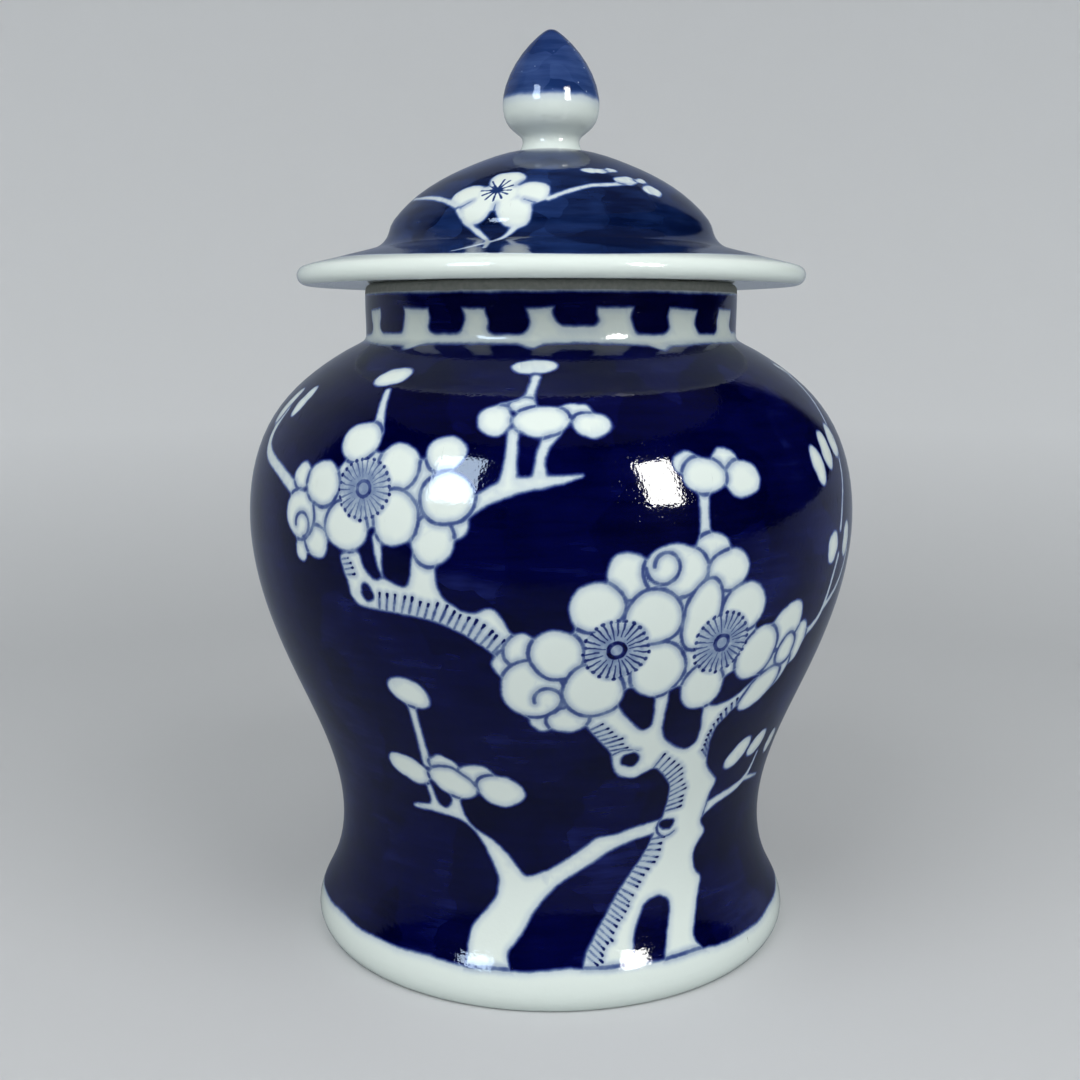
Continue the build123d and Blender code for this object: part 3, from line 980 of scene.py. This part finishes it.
def noise(tree, place, size, detail=2.0, rough=0.5):
    """Noise between 0 and 1 whose lumps are about size across."""
    inputs = {"Vector": place, "Scale": 1 / size, "Detail": detail, "Roughness": rough}
    return Field(tree, new_node(tree, "TexNoise", inputs).outputs["Fac"])


def cells(tree, place, size):
    """Space in cells of this size: distance to the cell's middle (1 is size), and a random tone."""
    node = new_node(tree, "TexVoronoi", {"Vector": place, "Scale": 1 / size})
    tone, _, _ = axes_of(tree, node.outputs["Color"])
    return Field(tree, node.outputs["Distance"]), tone


def colour_ramp(tree, value, low, high, stops):
    """A colour for each value: stops are (value, colour), read between low and high."""
    node = new_node(tree, "ValToRGB", {"Fac": (value - low) / (high - low)})
    ramp = node.color_ramp
    while len(ramp.elements) < len(stops):
        ramp.elements.new(0.5)
    for element, (at, colour) in zip(ramp.elements, stops):
        element.position = (at - low) / (high - low)
        element.color = colour
    return node.outputs["Color"]


def mix(tree, share, a, b):
    """The colour a where share is 0 and b where it is 1."""
    node = tree.nodes.new("ShaderNodeMix")
    node.data_type = "RGBA"
    for socket, value in ((0, share), (6, a), (7, b)):
        feed(tree, value, node.inputs[socket])
    return node.outputs[2]


PORCELAIN = srgb(223, 233, 227)
COBALT_STOPS = [
    (0.0, PORCELAIN),
    (0.12, srgb(198, 211, 216)),
    (0.3, srgb(126, 145, 174)),
    (0.5, srgb(66, 83, 134)),
    (0.68, srgb(22, 31, 94)),
    (0.84, srgb(2, 4, 56)),
    (1.0, srgb(0, 1, 36)),
]
LID_COBALT_STOPS = [
    (0.0, PORCELAIN),
    (0.15, srgb(188, 201, 212)),
    (0.35, srgb(118, 138, 174)),
    (0.55, srgb(62, 86, 138)),
    (0.75, srgb(26, 48, 98)),
    (1.0, srgb(5, 17, 52)),
]
SPOKES = 26
GLAZE_IOR = 1.54
DAUB = 17.0  # mm, size of one load of the brush in the blue ground


def spoke_pigment(tree):
    """Cobalt in the disc of stamens: tapering spokes with dots at the rim round a ringed middle,
    over a pale uneven wash. The spoke attribute is (right, up, strength), 1 at the disc's rim."""
    right, up, strength = axes_of(tree, attribute(tree, "spoke").outputs["Vector"])
    away = (right * right + up * up).math("SQRT")
    blotch = noise(tree, surface_place(tree), 2.4)
    turn = up.math("ARCTAN2", right) * (SPOKES / (2 * math.pi)) + SPOKES + (blotch - 0.5) * 0.6
    number = turn.math("FLOOR")
    dice = tree.nodes.new("ShaderNodeTexWhiteNoise")
    dice.noise_dimensions = "1D"
    feed(tree, number, dice.inputs["W"])
    chance = Field(tree, dice.outputs["Value"])
    off = ((turn - number) - 0.5).math("ABSOLUTE") * away * (2 * math.pi / SPOKES)
    spoke = (off - away * 0.03).step(0.045, -0.015)
    reach = (away - 0.22 - chance * 0.26).step(0.0, 0.1) * away.step(1.0, 0.93)
    past = away - 0.91 - chance * 0.08
    dot = (past * past + off * off).math("SQRT").step(0.1, 0.04)
    ring = (away - 0.2 - blotch * 0.08).math("ABSOLUTE").step(0.12, 0.03) * (blotch + 0.36)
    wash = away.step(1.0, 0.4) * 0.1 + (blotch - 0.5) * 0.3 + 0.2
    strokes = spoke * reach * (blotch * 0.5 + 0.34) * strength
    return wash.most(strokes).most(dot * (chance * 0.25 + 0.5)).most(ring * strength * 0.84)


def ground_strength(tree, place, ground, streak):
    """How strong the blue ground is: daubs of a loaded brush over streaks round the pot."""
    _, tone = cells(tree, shaken(tree, place, 14.0, 16.0), DAUB)
    streaks = noise(tree, surface_place(tree, (0.12, 0.12, 1.0)), 2.4, 3.0, 0.6)
    uneven = (streaks - 0.5) * streak + (tone - 0.5) * (streak * 0.45)
    uneven = uneven + (noise(tree, place, 16.0, 2.0) - 0.5) * (streak * 0.9)
    return (uneven + ground).math("MINIMUM", 1.0, clamp=True)


def painted_glaze(name, stops, ground, streak, soft=1.0, bare_specks=0.0):
    """Clear glaze over cobalt painting. Ground is the strength of the blue, streak its unevenness,
    soft how far the blue fades at its edges, bare_specks how many pinholes it has."""
    material, tree, shader = glaze(name)
    place = surface_place(tree)
    shiver = (noise(tree, place, 2.2) - 0.5) * 0.55 + (noise(tree, place, 0.5) - 0.5) * 0.2
    white, line, hatch = (drawn_field(tree, field) + shiver for field in ("white", "line", "hatch"))

    soak = white.step(-1.3 * soft, 0.2) * 0.2 + white.step(-0.42 * soft, 0.32 * soft) * 0.8
    pigment = ground_strength(tree, place, ground, streak) * soak
    pinholes = noise(tree, place, 1.4, 1.0).step(0.27, 0.2)
    pigment = pigment * (pinholes * -bare_specks + 1.0)
    drawn = line.step(0.5, -0.4) * (noise(tree, place, 5.0) * 0.5 + 0.24)
    pigment = pigment.most(drawn).most(line.step(1.9, 0.0) * 0.2)
    pigment = pigment.most(hatch.step(0.2, -0.2) * 0.76)
    in_disc = (drawn_field(tree, "rim") + shiver).step(0.9, -0.35)
    pigment = pigment.most(spoke_pigment(tree) * in_disc)
    colour = colour_ramp(tree, pigment, 0.0, 1.0, stops)

    middle, tone = cells(tree, place, 8.0)
    iron = middle.step(0.026, 0.014) * tone.step(0.8, 0.82) * white.step(0.2, -0.4)
    colour = mix(tree, iron * 0.8, colour, srgb(66, 58, 52))
    tree.links.new(colour, shader.inputs["Base Color"])
    return material


def new_material(name):
    """A new material, its node tree and its shader."""
    material = bpy.data.materials.new(name)
    material.use_nodes = True
    return material, material.node_tree, material.node_tree.nodes["Principled BSDF"]


def glaze(name):
    """A clear, slightly pitted glaze: its material, node tree and shader."""
    material, tree, shader = new_material(name)
    shader.inputs["IOR"].default_value = GLAZE_IOR
    place = surface_place(tree)
    feed(tree, noise(tree, place, 6.0) * 0.03 + 0.03, shader.inputs["Roughness"])
    ripple = noise(tree, place, 14.0, 1.0) * 0.05 + noise(tree, place, 1.1, 1.0) * 0.026
    ripple = ripple + noise(tree, place, 0.45, 1.0) * 0.007
    pits = noise(tree, place, 0.45, 1.0).step(0.30, 0.22) * -0.006
    bump = new_node(tree, "Bump", {"Distance": MM, "Height": ripple + pits})
    tree.links.new(bump.outputs["Normal"], shader.inputs["Normal"])
    return material, tree, shader


def bare_lip_in_painted_shade(material):
    """The lip is wiped bare of glaze, so that the lid doesn't stick to it in the kiln. Its grey is
    painted shade from the lid's flange above it: bare porcelain would be near white.
    """
    tree = material.node_tree
    shader = tree.nodes["Principled BSDF"]
    place = surface_place(tree)
    height = axes_of(tree, place)[2] + (noise(tree, place, 6.0) - 0.5) * 0.7
    bare = height.step(LIP_BARE, LIP_BARE + 0.7)
    # Painted shade: the matt bare lip is grey instead of off-white, as if the lid's flange shades it.
    stops = [(0.3, srgb(118, 121, 116)), (0.7, srgb(134, 136, 130))]
    biscuit = colour_ramp(tree, noise(tree, place, 1.2, 3.0), 0.0, 1.0, stops)
    for name, bare_with_painted_shade in (("Base Color", biscuit), ("Roughness", [0.7] * 3 + [1])):
        glazed = shader.inputs[name].links[0].from_socket
        tree.links.new(mix(tree, bare, glazed, bare_with_painted_shade), shader.inputs[name])


def plain_glaze(name, bare_below):
    """White glaze that stops short of an unglazed edge below some height in mm."""
    material, tree, shader = glaze(name)
    place = surface_place(tree)
    height = axes_of(tree, place)[2] + (noise(tree, place, 5.0) - 0.5) * 0.8
    bare = height.step(bare_below + 0.3, bare_below - 0.3)
    stops = [(0.3, srgb(196, 176, 150)), (0.7, srgb(226, 214, 196))]
    biscuit = colour_ramp(tree, noise(tree, place, 0.6, 3.0), 0.0, 1.0, stops)
    stops = [(0.3, srgb(219, 230, 226)), (0.7, PORCELAIN)]
    tint = colour_ramp(tree, noise(tree, place, 20.0), 0.0, 1.0, stops)
    tree.links.new(mix(tree, bare, tint, biscuit), shader.inputs["Base Color"])
    feed(tree, bare * 0.6 + 0.05, shader.inputs["Roughness"])
    return material


# The pieces ------------------------------------------------------------------------------

CONTACT_HEIGHT = 0.6  # mm, the foot's contact with the table lies below this
CONTACT_RADIUS = 60  # mm, and outside this
RING_BARE = 178.0  # mm, the locating ring is unglazed below this


def build_jar():
    turned = Turned("jar_body")
    lip = int(np.argmax(turned.heights + 0.001 * turned.radii))  # the outer end of the flat lip
    touching = (turned.heights < CONTACT_HEIGHT) & (turned.radii > CONTACT_RADIUS)
    foot = int(np.argmax(touching))
    turned.face(*sorted((lip, foot)))
    material = painted_glaze("jar_glaze", COBALT_STOPS, ground=0.9, streak=0.32, soft=2.1)
    bare_lip_in_painted_shade(material)
    paint = jar_painting(turned)
    turned_piece("jar_porcelain", "jar_body", turned, paint, material)
    return turned


def build_lid():
    turned = Turned("lid")
    widest = int(np.argmax(turned.radii))
    top = 0 if turned.heights[0] > turned.heights[-1] else len(turned.radii) - 1
    turned.face(*sorted((top, widest)))
    material = painted_glaze("lid_glaze", LID_COBALT_STOPS, ground=0.89, streak=0.42, soft=1.5)
    paint = lid_painting(turned)
    turned_piece("lid_porcelain", "lid", turned, paint, material)


def build_knob():
    turned = Turned("lid_knob")
    turned.face(0, len(turned.radii) - 1)
    brushing = {"ground": 0.69, "streak": 0.3, "soft": 3.0, "bare_specks": 0.8}
    material = painted_glaze("knob_glaze", LID_COBALT_STOPS, **brushing)
    paint = knob_painting(turned)
    turned_piece("knob_porcelain", "lid_knob", turned, paint, material)


def build_ring():
    turned = Turned("lid_locating_ring")
    turned.face(0, len(turned.radii) - 1)
    material = plain_glaze("ring_glaze", bare_below=RING_BARE)
    name = "locating_ring_porcelain"
    turned_piece(name, "lid_locating_ring", turned, plain(turned), material)


# The studio ------------------------------------------------------------------------------

STAGE_RADIUS = 0.85  # m, as are the other lengths in the studio unless they say otherwise
STAGE_BEND = 0.45  # radius of the sweep from floor to wall
STAGE_TOP = 1.1
STAGE_SIDES = 96
STAGE_BEND_STEPS = 24
CAMERA_PLACE = Vector((0, -1.4815 * TOTAL_HEIGHT * MM, 0.682 * TOTAL_HEIGHT * MM))
CAMERA_TILT = (math.radians(80.67), 0, math.radians(0.47))
LIGHT_DISTANCE = 0.75  # from the place on the jar that reflects it
LIGHT_HEIGHT = 0.35
FILL_RADIANCE = 3.4
FILL_SIZE = 0.5
FILL_RISE = 0.38  # how much further up than the highlight's light the soft light hangs
WORLD_STRENGTH = 0.41
WORLD_MIRRORED = 0.05  # its strength in reflections
SENSOR_WIDTH = 36  # mm
FOCAL_LENGTH = 43.33  # mm
NEAR_CLIP = 0.01


def stage_bowl():
    """A pale round floor that sweeps up into a wall on every side."""
    profile = [(0.001, 0.0), (0.2, 0.0)]
    for turn in np.linspace(0, math.pi / 2, STAGE_BEND_STEPS):
        inward = STAGE_BEND * (1 - math.sin(turn))
        profile.append((STAGE_RADIUS - inward, STAGE_BEND * (1 - math.cos(turn))))
    profile.append((STAGE_RADIUS, STAGE_TOP))
    turns = np.linspace(0, 2 * math.pi, STAGE_SIDES, endpoint=False)
    verts = [(r * math.cos(t), r * math.sin(t), z) for r, z in profile for t in turns]
    faces = []
    for i in range(len(profile) - 1):
        for j in range(STAGE_SIDES):
            k = (j + 1) % STAGE_SIDES
            low, high = i * STAGE_SIDES, (i + 1) * STAGE_SIDES
            faces.append((low + j, low + k, high + k, high + j))
    mesh = bpy.data.meshes.new("studio_floor")
    mesh.from_pydata(verts, [], faces)
    mesh.shade_smooth()
    bowl = add_object("studio_floor", mesh)
    mesh.materials.append(stage_material())


def seen_mirrored(tree):
    """1 where something is seen in a reflection, otherwise 0."""
    path = tree.nodes.new("ShaderNodeLightPath")
    return Field(tree, path.outputs["Is Glossy Ray"])


def stage_material():
    """Pale matt paper. Reflections see it dark on the camera's side, like an unlit room."""
    material, tree, shader = new_material("studio_paper")
    shader.inputs["Roughness"].default_value = 0.9
    shader.inputs["Specular IOR Level"].default_value = 0.1
    coordinates = tree.nodes.new("ShaderNodeTexCoord")
    right, depth, height = axes_of(tree, coordinates.outputs["Object"])
    mirrored = seen_mirrored(tree)
    wall = height.step(0.02, 0.25) * (right.step(0.0, 0.3) * 0.5 + 0.5)
    unlit = (depth + 0.4 - wall).step(0.04, -0.04)
    stops = [(0.0, srgb(205, 207, 209)), (0.1, srgb(231, 233, 235)), (0.5, srgb(222, 224, 226))]
    paper = colour_ramp(tree, height, 0.0, 0.5, stops)
    glimpse = mix(tree, depth.step(-0.45, 0.55), srgb(55, 62, 74), srgb(156, 164, 178))
    seen = mix(tree, unlit, glimpse, srgb(8, 8, 9))
    tree.links.new(mix(tree, mirrored, paper, seen), shader.inputs["Base Color"])
    return material


def area_light(name, place, heading, wide, tall, radiance, colour=(1, 1, 1)):
    """A rectangular light that faces back along its heading."""
    light = bpy.data.lights.new(name, "AREA")
    light.shape = "RECTANGLE"
    light.size = wide
    light.size_y = tall
    light.color = colour
    light.energy = radiance * math.pi * wide * tall
    lamp = add_object(name, light)
    lamp.location = place
    lamp.rotation_mode = "QUATERNION"
    lamp.rotation_quaternion = heading.to_track_quat("Z", "Y")
    return lamp


def softbox(name, turned, shine_at, width, radiance, colour):
    """An upright light whose reflection the camera sees at one (azimuth, height) on a turned
    piece. The soft light that goes with it hangs higher and shows in no reflection."""
    azimuth, height = shine_at
    along = turned.along(height)
    turn = math.radians(azimuth)
    out = Vector((math.sin(turn), -math.cos(turn), 0))
    place = (out * float(turned.radius(along)) + Vector((0, 0, height))) * MM
    flare, rise = turned.normal(np.array([along]))[0]
    normal = (out * flare + Vector((0, 0, rise))).normalized()
    view = (CAMERA_PLACE - place).normalized()
    heading = 2 * view.dot(normal) * normal - view
    shine_place = place + heading * LIGHT_DISTANCE
    shine = area_light(f"{name}_shine", shine_place, heading, width, LIGHT_HEIGHT, radiance, colour)
    shine.visible_diffuse = False
    heading = (heading + Vector((0, 0, FILL_RISE / LIGHT_DISTANCE))).normalized()
    fill_place = place + heading * LIGHT_DISTANCE
    fill = area_light(f"{name}_fill", fill_place, heading, FILL_SIZE, FILL_SIZE, FILL_RADIANCE)
    fill.visible_glossy = False


def world_light():
    """Even light from all round. Reflections see it almost black."""
    world = bpy.data.worlds.new("studio")
    world.use_nodes = True
    tree = world.node_tree
    background = tree.nodes["Background"]
    background.inputs["Color"].default_value = srgb(245, 247, 245)
    strength = seen_mirrored(tree) * (WORLD_MIRRORED - WORLD_STRENGTH) + WORLD_STRENGTH
    feed(tree, strength, background.inputs["Strength"])
    bpy.context.scene.world = world


def place_camera():
    """At the height, distance and tilt of the chosen view of the jar."""
    camera = bpy.data.cameras.new("camera")
    camera.sensor_width = SENSOR_WIDTH
    camera.lens = FOCAL_LENGTH
    camera.clip_start = NEAR_CLIP
    holder = add_object("camera", camera)
    holder.location = CAMERA_PLACE
    holder.rotation_euler = CAMERA_TILT
    bpy.context.scene.camera = holder


jar = build_jar()
build_lid()
build_knob()
build_ring()
stage_bowl()
softbox("softbox_left", jar, (-15.3, 142.2), width=0.226, radiance=13.0, colour=(0.62, 0.78, 1.0))
softbox("softbox_right", jar, (17.7, 141.0), width=0.177, radiance=27.0, colour=(1.0, 1.0, 0.96))
world_light()
place_camera()
bpy.context.scene.view_settings.view_transform = "Standard"
